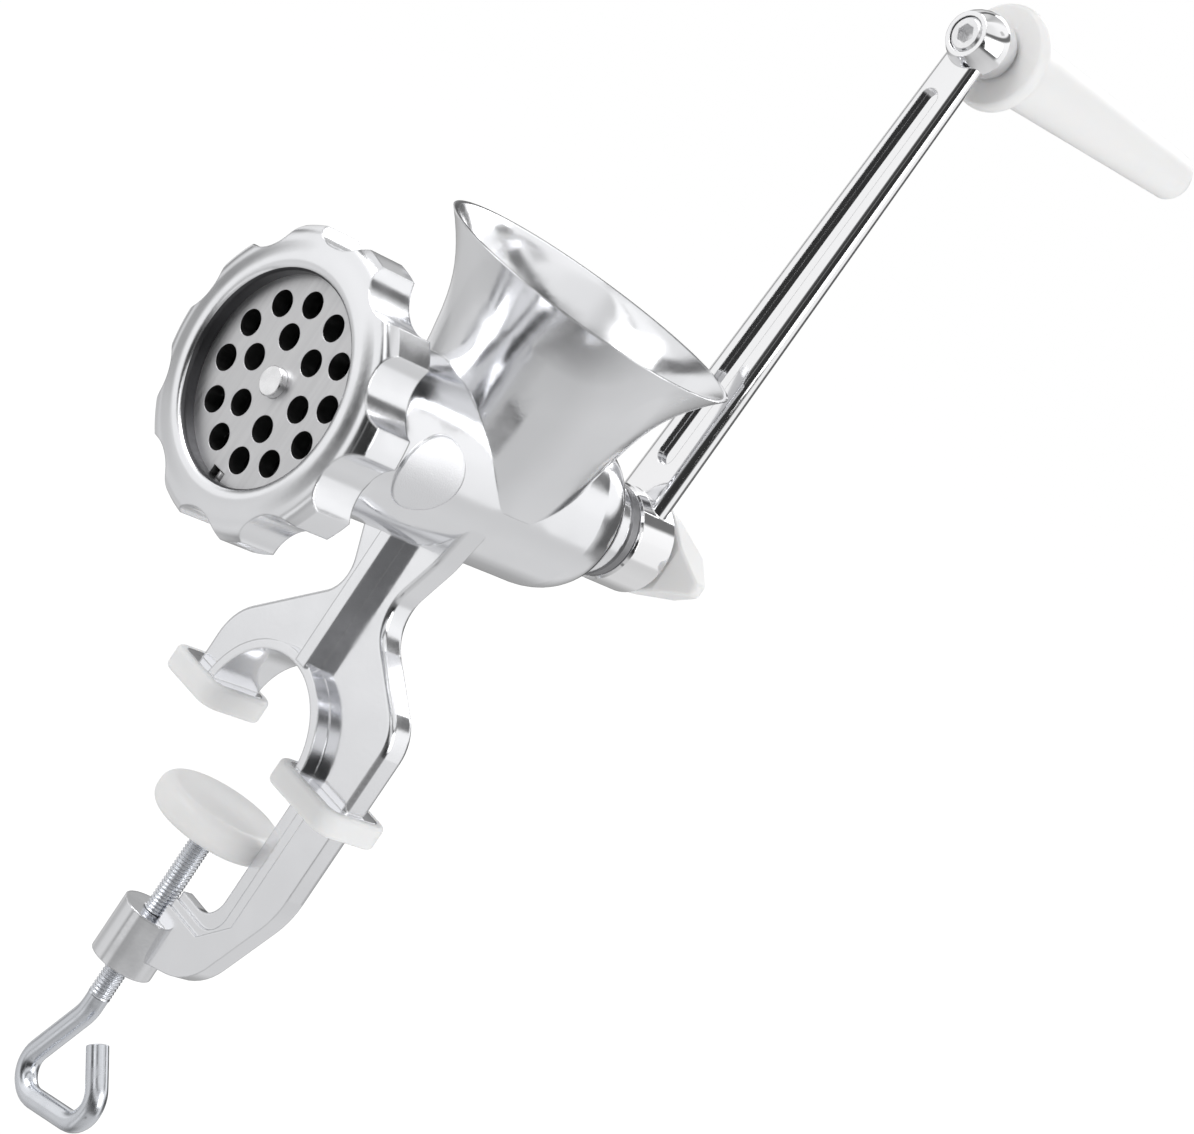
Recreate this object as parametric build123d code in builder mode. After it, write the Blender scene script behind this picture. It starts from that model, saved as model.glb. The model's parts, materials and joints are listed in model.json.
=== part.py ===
"""Hand crank meat grinder: a cast body with a table clamp, a feed screw, a
four-bladed knife, a perforated plate held by a scalloped ring nut, and a crank.

Frame: the origin lies on the clamp screw's axis, in the plane of the table top.
+Z is up, the plate looks to -Y, and the crank is at +Y. Sizes are in mm.
"""

import os

from build123d import *

os.makedirs("parts", exist_ok=True)

# ---------------------------------------------------------------- driving sizes

# Barrel
axis_height = 88.0          # barrel axis above the table top
barrel_front = -63.0        # front face of the threaded collar
barrel_length = 117.0       # front face to the end of the rear boss
barrel_radius = 22.6
barrel_wall = 3.0
barrel_taper = 0.6          # the barrel is this much slimmer at its shoulder
collar_radius = 31.1        # over the ring nut's thread
collar_length = 13.0
collar_neck = 12.0          # length of the sweep from the collar to the barrel
boss_radius = 13.2          # rear boss
boss_length = 5.0
shoulder_length = 15.0      # rounding from the barrel to the rear boss
rear_wall = 11.0            # metal around the rear bush
medallion_radius = 10.0     # bare raised disc on the barrel's side
medallion_height = 0.6      # all over, so the disc follows the barrel's round
medallion_y = -26.8

# Hopper
hopper_y = 5.9
hopper_lean = 3.0           # degrees, towards the clamp frame's side
mouth_radius = 41.2
mouth_height = 51.9         # rim above the barrel axis
lip_drop = 6.5              # three stations of the flare below the rim
bell_drop = 13.5
cone_drop = 25.0
lip_in = 5.3                # how much slimmer the hopper is at each
bell_in = 9.4
cone_in = 12.9
root_swell = 0.2            # the hopper's root is this much wider than the barrel
throat_radius = 17.6
throat_rise = 8.0           # straight throat above the barrel axis
hopper_wall = 2.2
rim_wall = 1.3

# Plate, its key, and the ring nut
plate_radius = 28.8
plate_thickness = 5.0
plate_proud = 0.5           # the plate stands in front of the collar by this
hole_radius = 3.42
outer_hole_circle = 20.0
inner_hole_circle = 11.3
outer_hole_count = 12
inner_hole_count = 6
outer_hole_phase = 18.5     # degrees from straight up, towards +X
inner_hole_phase = 34.9
key_radius = 2.0
key_reach = 24.9            # inner end of the key pin from the axis
notch_gap = 0.4
ring_opening = 26.7
ring_lip = 3.9
ring_depth = 10.2           # skirt behind the plate's front face
lobe_radius = 38.8
lobe_count = 10
lobe_phase = 9.5
scallop_depth = 4.7
scallop_radius = 11.5

# Knife
knife_chamber_radius = 27.4
knife_radius = 26.2
knife_thickness = 5.6
knife_hub_radius = 8.8
blade_count = 4
blade_root = 9.0            # width of a blade against the plate
blade_relief = 4.0          # how much narrower its back is

# Feed screw and its shaft
flight_clearance = 0.5
flight_thickness = 3.4      # at the core
flight_edge = 2.0           # at the rim
flight_root = 0.6           # how far the flight reaches into the core
flight_pitch = 25.0
core_radius = 8.6
journal_radius = 6.0
tail_square = 8.2           # across flats, carries the crank
nose_square = 9.0           # across flats, carries the knife
nose_pin_radius = 3.8
nose_pin_proud = 2.0        # in front of the plate
nose_shank_radius = 4.0
nose_shank_length = 16.0
pin_chamfer = 0.8
bush_wall = 2.0
bush_flange = 0.8
bush_flange_radius = 10.4

# Crank
washer_thickness = 3.4
washer_radius = 12.9
crank_radius = 156.0        # barrel axis to grip axis
crank_hub_radius = 13.5
crank_hub_length = 14.0
arm_set_back = 4.2          # arm's front face behind the hub's front face
arm_lean = 6.6              # the tip stands this much further back
arm_thickness_hub = 6.3
arm_thickness_tip = 5.6
arm_width_hub = 10.6
arm_width_tip = 6.8
groove_depth = 1.6
groove_start = 25.0         # centre of the groove's round ends, from the axis
groove_end = 137.5
groove_radius_hub = 2.5
groove_radius_tip = 1.6
arm_boss_radius = 8.6
arm_boss_length = 13.0
arm_boss_proud = 1.8        # boss face in front of the arm's face
arm_edge = 1.6              # rounding of the bar's long edges
boss_face_radius = 5.9      # the boss bulges between its two flat faces
boss_back_radius = 7.2
head_recess = 3.4           # depth of the grip screw's counterbore
head_height = 3.5
grip_length = 93.0
grip_flange_radius = 14.6
grip_flange_thickness = 4.4
grip_radius_big = 9.4
grip_radius_small = 6.9
grip_washer_thickness = 0.8
grip_washer_radius = 6.5
grip_screw_radius = 3.0
grip_screw_head = 4.7
grip_screw_socket = 2.6     # from the hexagon's middle to its corners
socket_depth = 2.4
grip_screw_bite = 58.0      # length of the screw inside the grip
grip_neck = 15.0            # from the grip's face to where its plain taper starts
flange_rounding = 1.2

# Wing knob
knob_washer_thickness = 1.2
knob_washer_radius = 9.5
knob_base_radius = 12.6
knob_base_thickness = 1.8
knob_crown_radius = 5.0     # flat end of the knob, behind the wings
knob_length = 12.0
wing_span = 43.0
wing_tip = 2.6              # radius of the wings' round ends
wing_rise = 5.8             # middle of the wing tips behind the knob's face
knob_rounding = 0.9
stud_in_knob = 9.0
stud_radius = 3.0
stud_bite = 13.0            # length of the stud inside the shaft

# Leg and clamp frame
leg_thickness = 7.6
leg_edge = 1.4              # rounding of the leg's edges
neck_x = 3.6                # middle of the leg's narrowest place
neck_half = 7.8             # half its width
neck_height = 47.5
leg_top_drop = 8.5          # the leg runs into the barrel this far below its axis
leg_near_top = 20.6         # its outer sides there, and where they start to flare
leg_near_flare = 18.2
leg_far_top = -20.0
leg_far_flare = -14.2
flare_height = 67.0
flare_bend = 24.0
leg_near_shoulder = 29.5    # heights at which the sides turn down to the feet
leg_far_shoulder = 21.0
near_foot_ledge = 1.0       # the feet reach this far past the leg's outer sides
far_foot_ledge = 2.0
leg_bend = 12.0
leg_bend_wide = 16.0
leg_bend_tight = 9.0
rib_x = 2.9
rib_width = 4.0
rib_depth = 18.0            # overall, front to back
arch_radius = 21.0
arch_depth = 16.4
arch_rim = 2.6
arch_spring = 4.0           # height at which the arch starts
far_foot_outer = 35.6       # outer end of the far foot from the centre
foot_past_spine = 2.2       # the near foot reaches this far past the clamp frame
foot_inner = 17.4
foot_width = 17.0
foot_thickness = 3.5
cap_wall = 2.4
cap_floor = 3.0
cap_corner = 5.0
cap_rounding = 1.1
cap_gap = 0.3               # round the frame where it passes through the near cap
spine_x = 37.6              # outer side of the clamp frame
spine_width = 10.8
spine_foot = -26.0          # where the frame starts to curve in, before rounding
heel_in = 13.0              # the frame's heel: this far inside its spine
heel_rise = 10.7            # and this far above the boss's underside
toe_rise = 4.2              # underside of the frame at the boss
frame_bend = 26.0
heel_bend = 18.0
frame_front = -1.8          # front face of the frame
frame_thickness = 7.0
frame_round = 2.4           # rounding of its outer edge at the back
step_width = 4.5            # ledge between the frame and its thin web
step_set_back = 1.0         # the ledge stands this far behind the frame's face
web_set_back = 2.0          # and the web this far
frame_clearance = 1.0       # between the pad's rim and the inner web
frame_corner = 7.0
screw_boss_radius = 8.7
screw_boss_top = -50.4
screw_boss_length = 16.0
web_rise = 9.5              # inner web's lower edge above the screw boss

# Clamp screw and pad
screw_radius = 3.1
wire_radius = 2.95
pad_radius = 17.4
pad_thickness = 8.6
pad_rounding = 3.6
pad_gap = 16.6              # table top to pad face, as drawn
pad_plate_radius = 11.5
pad_plate_thickness = 1.6
neck_radius = 2.2
rivet_radius = 4.0
rivet_height = 2.8
screw_length = 51.8         # straight threaded stretch below the pad
wire_drop = 5.0             # from the thread's end to the first bend
wire_leg = 31.0             # height of the handle's long leg
wire_out = 12.5             # how far the leg leans out
wire_across = 39.5          # width of the handle's bottom
wire_rise = 11.0
wire_end_x = 9.7
wire_end_rise = 27.0        # free end above the handle's lowest corner
wire_bend_wide = 12.0
wire_bend = 7.0

# Clearances
fit = 0.05                  # running fit, radial
thread_gap = 0.15           # thread crest to thread root, radial
slip = 0.1                  # a square on its seat, each side
face_gap = 0.2              # between faces that turn on each other
edge_break = 0.6            # small chamfer on turned edges
overlap = 1.0               # how far neighbouring forms of one casting run together

# ------------------------------------------------------------- derived stations

bore_radius = barrel_radius - barrel_wall
barrel_back = barrel_front + barrel_length
plate_front = barrel_front - plate_proud
plate_back = plate_front + plate_thickness
knife_front = plate_back + face_gap
knife_back = knife_front + knife_thickness
screw_front = knife_back + face_gap
collar_back = barrel_front + collar_length
bore_back = barrel_back - rear_wall
shoulder_start = barrel_back - boss_length - shoulder_length
flight_radius = bore_radius - flight_clearance
bush_radius = journal_radius + fit + bush_wall
washer_front = barrel_back + bush_flange + face_gap
washer_back = washer_front + washer_thickness
hub_back = washer_back + crank_hub_length
tail_back = hub_back - face_gap
arm_front_hub = washer_back + arm_set_back
arm_front_tip = arm_front_hub + arm_lean
arm_boss_front = arm_front_tip - arm_boss_proud
arm_boss_back = arm_boss_front + arm_boss_length
grip_axis_height = axis_height + crank_radius
grip_front = arm_boss_back + grip_washer_thickness + face_gap
grip_back = grip_front + grip_length
knob_washer_back = hub_back + knob_washer_thickness
knob_front = knob_washer_back + face_gap
foot_top = cap_floor + foot_thickness
pad_top = -pad_gap
pad_bottom = pad_top - pad_thickness
screw_boss_bottom = screw_boss_top - screw_boss_length
screw_bottom = pad_bottom - face_gap - screw_length
inner_web_x = pad_radius + frame_clearance
web_floor = screw_boss_top + web_rise

barrel_section = Plane((0, 0, axis_height), x_dir=(0, 1, 0), z_dir=(1, 0, 0))
barrel_axis = Axis((0, 0, axis_height), (0, 1, 0))
grip_section = Plane((0, 0, grip_axis_height), x_dir=(0, 1, 0), z_dir=(1, 0, 0))
grip_axis = Axis((0, 0, grip_axis_height), (0, 1, 0))
hopper_side = Vector(1, 0, 0).rotate(Axis.Y, hopper_lean)
hopper_section = Plane((0, hopper_y, axis_height), x_dir=hopper_side, z_dir=(0, -1, 0))
hopper_axis = Axis(hopper_section.origin, hopper_section.y_dir)
frame_plane = Plane.XZ
face_plane = Plane.XZ.offset(-frame_front)


def across(y, height=axis_height):
    """A plane square to the barrel at station y, as seen from the front."""
    return Plane((0, y, height), x_dir=(1, 0, 0), z_dir=(0, -1, 0))


def level(z):
    """A plane parallel to the table top."""
    return Plane.XY.offset(z)


# ------------------------------------------------------------------ body casting

spine_inner_x = spine_x - spine_width
near_foot_outer = spine_x + foot_past_spine
leg_near_foot = near_foot_outer - near_foot_ledge
leg_far_foot = far_foot_ledge - far_foot_outer
step_x = inner_web_x + step_width
boss_inside = screw_boss_radius / 2
leg_top = axis_height - leg_top_drop
rib_foot = arch_spring + arch_radius + overlap
rib_top = axis_height - bore_radius


def follows(edge, line):
    """True for an edge that lies over the given line of an outline drawn in frame_plane."""
    middle = edge @ 0.5
    return line.distance_to(Vector(middle.X, middle.Z)) < fit


with BuildPart() as grinder_body:
    # Clamp frame: a curved bar with a flat face and a rounded back
    with BuildSketch(face_plane):
        with BuildLine():
            bar_line = FilletPolyline(
                (spine_x, foot_top),
                (spine_x, spine_foot),
                (spine_x - heel_in, screw_boss_bottom + heel_rise),
                (boss_inside, screw_boss_bottom + toe_rise),
                radius=[frame_bend, heel_bend],
            )
            Polyline(
                bar_line @ 1,
                (boss_inside, web_floor - step_width),
                (inner_web_x, web_floor - step_width),
                (spine_inner_x, web_floor + step_width),
                (spine_inner_x, foot_top),
                bar_line @ 0,
            )
        make_face()
    extrude(amount=-frame_thickness)
    back_edges = grinder_body.edges().group_by(Axis.Y)[-1]
    fillet(back_edges.filter_by(lambda edge: follows(edge, bar_line)), frame_round)

    # Leg: a plate from the barrel to both feet, cut out by the arch
    with BuildSketch(frame_plane):
        with BuildLine():
            near_side = FilletPolyline(
                (leg_near_top, leg_top),
                (leg_near_flare, flare_height),
                (neck_x + neck_half, neck_height),
                (leg_near_foot, leg_near_shoulder),
                (leg_near_foot, cap_floor),
                radius=[flare_bend, leg_bend, leg_bend],
            )
            Polyline(near_side @ 1, (arch_radius, cap_floor), (arch_radius, arch_spring))
            ThreePointArc(
                (arch_radius, arch_spring),
                (0, arch_spring + arch_radius),
                (-arch_radius, arch_spring),
            )
            Polyline((-arch_radius, arch_spring), (-arch_radius, cap_floor), (leg_far_foot, cap_floor))
            far_side = FilletPolyline(
                (leg_far_foot, cap_floor),
                (leg_far_foot, leg_far_shoulder),
                (neck_x - neck_half, neck_height),
                (leg_far_flare, flare_height),
                (leg_far_top, leg_top),
                radius=[leg_bend_wide, leg_bend_tight, flare_bend],
            )
            Line((leg_far_top, leg_top), (leg_near_top, leg_top))
        make_face()
    leg = extrude(amount=leg_thickness / 2, both=True, mode=Mode.PRIVATE)
    outline = leg.edges().group_by(Axis.Y)[0] + leg.edges().group_by(Axis.Y)[-1]
    near_edges = outline.filter_by(lambda edge: follows(edge, near_side))
    far_edges = outline.filter_by(lambda edge: follows(edge, far_side))
    add(leg.fillet(leg_edge, near_edges + far_edges))

    # Rim of the arch, the rib above it, and the two feet
    with BuildSketch(frame_plane):
        with Locations((0, arch_spring)):
            Circle(arch_radius + arch_rim)
            Circle(arch_radius, mode=Mode.SUBTRACT)
        with Locations((0, cap_floor - arch_radius)):
            Rectangle(4 * arch_radius, 2 * arch_radius, mode=Mode.SUBTRACT)
    extrude(amount=arch_depth / 2, both=True)
    with BuildSketch(frame_plane):
        with Locations((rib_x, (rib_top + rib_foot) / 2)):
            Rectangle(rib_width, rib_top - rib_foot)
    extrude(amount=rib_depth / 2, both=True)
    with BuildSketch(level(cap_floor)):
        with Locations((-(far_foot_outer + foot_inner) / 2, 0)):
            RectangleRounded(far_foot_outer - foot_inner, foot_width, cap_corner - cap_wall)
        with Locations(((near_foot_outer + foot_inner) / 2, 0)):
            RectangleRounded(near_foot_outer - foot_inner, foot_width, cap_corner - cap_wall)
    extrude(amount=foot_thickness)

    # The frame's ledge, then its thin web, each further behind the face
    with BuildSketch(Plane.XZ.offset(-frame_front - step_set_back)):
        with BuildLine():
            ledge_line = FilletPolyline(
                (step_x, foot_top),
                (step_x, web_floor - step_width / 2),
                (boss_inside, web_floor - step_width / 2),
                radius=frame_corner,
            )
            Polyline(
                ledge_line @ 1,
                (boss_inside, screw_boss_top),
                (step_x, screw_boss_top),
                (spine_inner_x + overlap, web_floor),
                (spine_inner_x + overlap, foot_top),
                ledge_line @ 0,
            )
        make_face()
    extrude(amount=2 * step_set_back - frame_thickness)
    with BuildSketch(Plane.XZ.offset(-frame_front - web_set_back)):
        with BuildLine():
            web_line = FilletPolyline(
                (inner_web_x, foot_top),
                (inner_web_x, web_floor),
                (boss_inside, web_floor),
                radius=frame_corner,
            )
            Polyline(
                web_line @ 1,
                (boss_inside, screw_boss_top),
                (step_x, screw_boss_top),
                (step_x + overlap, web_floor),
                (step_x + overlap, foot_top),
                web_line @ 0,
            )
        make_face()
    extrude(amount=2 * web_set_back - frame_thickness)
    with BuildSketch(level(screw_boss_bottom)):
        Circle(screw_boss_radius)
    extrude(amount=screw_boss_length)

    # Barrel, threaded collar and rear boss
    with BuildSketch(barrel_section):
        with BuildLine():
            front = Polyline(
                (barrel_front, 0),
                (barrel_front, collar_radius),
                (collar_back, collar_radius),
            )
            neck_end = (collar_back + collar_neck, barrel_radius)
            Spline(front @ 1, neck_end, tangents=[(0.35, -1), (1, 0)])
            Line(neck_end, (shoulder_start, barrel_radius - barrel_taper))
            shoulder = Spline(
                (shoulder_start, barrel_radius - barrel_taper),
                (barrel_back - boss_length, boss_radius),
                tangents=[(1, -0.05), (0.45, -1)],
            )
            Polyline(shoulder @ 1, (barrel_back, boss_radius), (barrel_back, 0), front @ 0)
        make_face()
    revolve(axis=barrel_axis)

    # Bare raised disc on the barrel's near side: a slice of a slightly wider barrel
    with BuildSketch(Plane.YZ):
        with Locations((medallion_y, axis_height)):
            Circle(medallion_radius)
    disc = extrude(amount=barrel_radius + 2 * medallion_height, mode=Mode.PRIVATE)
    with BuildSketch(barrel_section):
        with Locations((medallion_y, (barrel_radius + medallion_height) / 2)):
            Rectangle(4 * medallion_radius, barrel_radius + medallion_height)
    wider_barrel = revolve(axis=barrel_axis, mode=Mode.PRIVATE)
    add(disc & wider_barrel)

    # Hopper: a trumpet that is nearly straight below and flares to the mouth
    with BuildSketch(hopper_section):
        with BuildLine():
            flare = Spline(
                (mouth_radius, mouth_height),
                (mouth_radius - lip_in, mouth_height - lip_drop),
                (mouth_radius - bell_in, mouth_height - bell_drop),
                (mouth_radius - cone_in, mouth_height - cone_drop),
                (barrel_radius + root_swell, 0),
            )
            Polyline(flare @ 1, (0, 0), (0, mouth_height), flare @ 0)
        make_face()
    revolve(axis=hopper_axis)
    with BuildSketch(hopper_section):
        with BuildLine():
            lining = Spline(
                (mouth_radius - rim_wall, mouth_height),
                (mouth_radius - lip_in - hopper_wall, mouth_height - lip_drop),
                (mouth_radius - bell_in - hopper_wall, mouth_height - bell_drop),
                (mouth_radius - cone_in - 2 * hopper_wall, mouth_height - cone_drop),
                (throat_radius, throat_rise),
            )
            Polyline(lining @ 1, (throat_radius, 0), (0, 0), (0, mouth_height), lining @ 0)
        make_face()
    revolve(axis=hopper_axis, mode=Mode.SUBTRACT)

    # Inside of the barrel: plate seat, knife chamber, screw bore and bush bore
    with BuildSketch(barrel_section):
        with BuildLine():
            Polyline(
                (barrel_front - 1, 0),
                (barrel_front - 1, plate_radius + fit),
                (plate_back, plate_radius + fit),
                (plate_back, knife_chamber_radius),
                (knife_back + 1.5, knife_chamber_radius),
                (knife_back + 1.5 + collar_neck, bore_radius),
                (bore_back, bore_radius),
                (bore_back, bush_radius),
                (barrel_back + 1, bush_radius),
                (barrel_back + 1, 0),
                (barrel_front - 1, 0),
            )
        make_face()
    revolve(axis=barrel_axis, mode=Mode.SUBTRACT)

    # Hole for the plate's key, bored up through the collar, and the clamp screw's thread
    with BuildSketch(Plane.XY.offset(axis_height - collar_radius - 1)):
        with Locations((0, (barrel_front + plate_back) / 2)):
            Circle(key_radius)
    extrude(amount=collar_radius - plate_radius + 3, mode=Mode.SUBTRACT)
    with BuildSketch(level(screw_boss_bottom)):
        Circle(screw_radius + fit)
    extrude(amount=screw_boss_length, mode=Mode.SUBTRACT)

grinder_body.part.label = "grinder_body"
export_step(grinder_body.part, "parts/grinder_body.step")

# -------------------------------------------------------------- plate and its key

with BuildPart() as plate_key:
    with BuildSketch(level(axis_height - collar_radius)):
        with Locations((0, (barrel_front + plate_back) / 2)):
            Circle(key_radius)
    extrude(amount=collar_radius - key_reach)
plate_key.part.label = "plate_key"
export_step(plate_key.part, "parts/plate_key.step")

with BuildPart() as cutting_plate:
    with BuildSketch(across(plate_back)):
        Circle(plate_radius)
        Circle(nose_pin_radius + fit, mode=Mode.SUBTRACT)
        outer_start = 90 - outer_hole_phase
        inner_start = 90 - inner_hole_phase
        with PolarLocations(outer_hole_circle, outer_hole_count, outer_start):
            Circle(hole_radius, mode=Mode.SUBTRACT)
        with PolarLocations(inner_hole_circle, inner_hole_count, inner_start):
            Circle(hole_radius, mode=Mode.SUBTRACT)
        notch_end = key_reach - notch_gap
        with Locations((0, -(notch_end + plate_radius) / 2)):
            Rectangle(2 * (key_radius + notch_gap), plate_radius - notch_end, mode=Mode.SUBTRACT)
    extrude(amount=plate_thickness)
cutting_plate.part.label = "cutting_plate"
export_step(cutting_plate.part, "parts/cutting_plate.step")

# ------------------------------------------------------------------------ ring nut

lip_front = plate_front - ring_lip
with BuildPart() as ring_nut:
    with BuildSketch(barrel_section):
        with BuildLine():
            lip = Line((plate_front, ring_opening), (lip_front + 0.9, ring_opening))
            Spline(
                lip @ 1,
                (lip_front - 0.6, ring_opening + 3.2),
                (lip_front + 0.4, lobe_radius - 4.6),
                (lip_front + 3.4, lobe_radius),
                tangents=[(-1, 0.3), (1, 0.55)],
            )
            Polyline(
                (lip_front + 3.4, lobe_radius),
                (plate_front + ring_depth, lobe_radius),
                (plate_front + ring_depth, collar_radius + thread_gap),
                (plate_front, collar_radius + thread_gap),
                (plate_front, ring_opening),
            )
        make_face()
    revolve(axis=barrel_axis)
    scallop_centre = lobe_radius - scallop_depth + scallop_radius
    with BuildSketch(across(plate_front + ring_depth)):
        with PolarLocations(scallop_centre, lobe_count, 90 - lobe_phase + 180 / lobe_count):
            Circle(scallop_radius)
    extrude(amount=ring_depth + 2 * ring_lip, mode=Mode.SUBTRACT)
ring_nut.part.label = "ring_nut"
export_step(ring_nut.part, "parts/ring_nut.step")

# --------------------------------------------------------------------------- knife

with BuildPart() as knife:
    with BuildSketch(level(axis_height)):
        with BuildLine():
            Polyline(
                (-blade_root / 2, knife_front),
                (blade_root / 2, knife_front),
                (blade_root / 2 - blade_relief, knife_back),
                (-blade_root / 2, knife_back),
                (-blade_root / 2, knife_front),
            )
        make_face()
    blade = extrude(amount=knife_radius)
    for quarter in range(1, blade_count):
        add(blade.rotate(barrel_axis, quarter * 360 / blade_count))
    with BuildSketch(across(knife_back)):
        Circle(knife_hub_radius)
    extrude(amount=knife_thickness)
    with BuildSketch(across(knife_back)):
        Circle(knife_radius)
    extrude(amount=knife_thickness, mode=Mode.INTERSECT)
    with BuildSketch(across(knife_back)):
        Rectangle(nose_square + 2 * slip, nose_square + 2 * slip)
    extrude(amount=knife_thickness, mode=Mode.SUBTRACT)
knife.part.label = "knife"
export_step(knife.part, "parts/knife.step")

# -------------------------------------------------- feed screw, its stud and bearing

with BuildPart() as feed_screw:
    with BuildSketch(barrel_section):
        with BuildLine():
            Polyline(
                (screw_front, 0),
                (screw_front, core_radius),
                (bore_back - face_gap, core_radius),
                (bore_back - face_gap, journal_radius),
                (washer_back, journal_radius),
                (washer_back, 0),
                (screw_front, 0),
            )
        make_face()
    revolve(axis=barrel_axis)
    with BuildSketch(across(tail_back)):
        Rectangle(tail_square, tail_square)
    extrude(amount=tail_back - washer_back)

    # The flight winds to the left, so that the crank turned clockwise feeds forwards
    with BuildLine() as flight_path:
        Helix(
            flight_pitch,
            bore_back - screw_front - 2 * flight_thickness,
            core_radius,
            center=(0, screw_front + flight_thickness, axis_height),
            direction=(0, 1, 0),
            lefthand=True,
        )
    flight_start = flight_path.line @ 0
    outwards = flight_start - Vector(0, flight_start.Y, axis_height)
    with BuildSketch(Plane(flight_start, x_dir=outwards, z_dir=flight_path.line % 0)):
        with BuildLine():
            Polyline(
                (-flight_root, flight_thickness / 2),
                (flight_radius - core_radius, flight_edge / 2),
                (flight_radius - core_radius, -flight_edge / 2),
                (-flight_root, -flight_thickness / 2),
                (-flight_root, flight_thickness / 2),
            )
        make_face()
    sweep(path=flight_path.line, is_frenet=True)

    # Threaded hole for the nose stud in front, and for the wing knob's stud behind
    with BuildSketch(across(screw_front + nose_shank_length + face_gap)):
        Circle(nose_shank_radius + fit)
    extrude(amount=nose_shank_length + face_gap, mode=Mode.SUBTRACT)
    with BuildSketch(across(tail_back)):
        Circle(stud_radius + thread_gap)
    extrude(amount=stud_bite + face_gap, mode=Mode.SUBTRACT)
feed_screw.part.label = "feed_screw"
export_step(feed_screw.part, "parts/feed_screw.step")

with BuildPart() as nose_stud:
    with BuildSketch(across(screw_front + nose_shank_length)):
        Circle(nose_shank_radius)
    extrude(amount=nose_shank_length)
    with BuildSketch(across(screw_front)):
        Rectangle(nose_square, nose_square)
    extrude(amount=screw_front - knife_front)
    with BuildSketch(across(knife_front)):
        Circle(nose_pin_radius)
    extrude(amount=knife_front - plate_front + nose_pin_proud)
    chamfer(nose_stud.faces().sort_by(Axis.Y)[0].edges(), pin_chamfer)
nose_stud.part.label = "nose_stud"
export_step(nose_stud.part, "parts/nose_stud.step")

with BuildPart() as rear_bush:
    with BuildSketch(across(barrel_back + bush_flange)):
        Circle(bush_flange_radius)
    extrude(amount=bush_flange)
    with BuildSketch(across(barrel_back)):
        Circle(bush_radius)
    extrude(amount=rear_wall)
    with BuildSketch(across(barrel_back + bush_flange)):
        Circle(journal_radius + fit)
    extrude(amount=rear_wall + bush_flange, mode=Mode.SUBTRACT)
rear_bush.part.label = "rear_bush"
export_step(rear_bush.part, "parts/rear_bush.step")

with BuildPart() as thrust_washer:
    with BuildSketch(across(washer_back)):
        Circle(washer_radius)
        Circle(journal_radius + fit, mode=Mode.SUBTRACT)
    extrude(amount=washer_thickness)
    chamfer(thrust_washer.edges().filter_by(GeomType.CIRCLE).group_by(SortBy.RADIUS)[-1], edge_break)
thrust_washer.part.label = "thrust_washer"
export_step(thrust_washer.part, "parts/thrust_washer.step")

# --------------------------------------------------------------------------- crank


def arm_face(y, lean):
    """Plane of one face of the bar: it stands at y on the barrel's axis and leans back."""
    return Plane((0, y, axis_height), x_dir=(1, 0, 0), z_dir=(0, -crank_radius, lean))


front_face = arm_face(arm_front_hub, arm_lean)
back_face = arm_face(
    arm_front_hub + arm_thickness_hub,
    arm_lean + arm_thickness_tip - arm_thickness_hub,
)

with BuildPart() as crank_arm:
    # The bar's outline from the front, then its outline from the side
    with BuildSketch(across(arm_front_hub)):
        with BuildLine():
            Polyline(
                (-arm_width_hub / 2, 0),
                (-arm_width_tip / 2, crank_radius),
                (arm_width_tip / 2, crank_radius),
                (arm_width_hub / 2, 0),
                (-arm_width_hub / 2, 0),
            )
        make_face()
    extrude(amount=-(arm_boss_back - arm_front_hub))
    with BuildSketch(barrel_section):
        with BuildLine():
            Polyline(
                (arm_front_hub, 0),
                (arm_front_tip, crank_radius),
                (arm_front_tip + arm_thickness_tip, crank_radius),
                (arm_front_hub + arm_thickness_hub, 0),
                (arm_front_hub, 0),
            )
        make_face()
    extrude(amount=arm_width_hub, both=True, mode=Mode.INTERSECT)
    fillet(crank_arm.edges().filter_by(lambda edge: edge.length > crank_radius / 2), arm_edge)

    # The long groove in the front face, and the same in the back face
    with BuildSketch(front_face):
        with Locations((0, groove_start)):
            Circle(groove_radius_hub)
        with Locations((0, groove_end)):
            Circle(groove_radius_tip)
        make_hull()
    extrude(amount=-groove_depth, mode=Mode.SUBTRACT)
    with BuildSketch(back_face):
        with Locations((0, groove_start)):
            Circle(groove_radius_hub)
        with Locations((0, groove_end)):
            Circle(groove_radius_tip)
        make_hull()
    extrude(amount=groove_depth, mode=Mode.SUBTRACT)

    # Hub and end boss
    with BuildSketch(across(hub_back)):
        Circle(crank_hub_radius)
    hub = extrude(amount=crank_hub_length)
    chamfer(hub.edges().filter_by(GeomType.CIRCLE), edge_break)
    with BuildSketch(grip_section):
        with BuildLine():
            bulge = ThreePointArc(
                (arm_boss_front, boss_face_radius),
                ((arm_boss_front + arm_boss_back) / 2, arm_boss_radius),
                (arm_boss_back, boss_back_radius),
            )
            Polyline(bulge @ 1, (arm_boss_back, 0), (arm_boss_front, 0), bulge @ 0)
        make_face()
    revolve(axis=grip_axis)

    # Square seat on the shaft's tail, and the counterbored hole for the grip's screw
    with BuildSketch(across(hub_back)):
        Rectangle(tail_square + 2 * slip, tail_square + 2 * slip)
    extrude(amount=crank_hub_length, mode=Mode.SUBTRACT)
    with BuildSketch(across(arm_boss_back, grip_axis_height)):
        Circle(grip_screw_radius + fit)
    extrude(amount=arm_boss_length, mode=Mode.SUBTRACT)
    with BuildSketch(across(arm_boss_front + head_recess, grip_axis_height)):
        Circle(grip_screw_head + face_gap)
    extrude(amount=head_recess, mode=Mode.SUBTRACT)
crank_arm.part.label = "crank_arm"
export_step(crank_arm.part, "parts/crank_arm.step")

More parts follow.
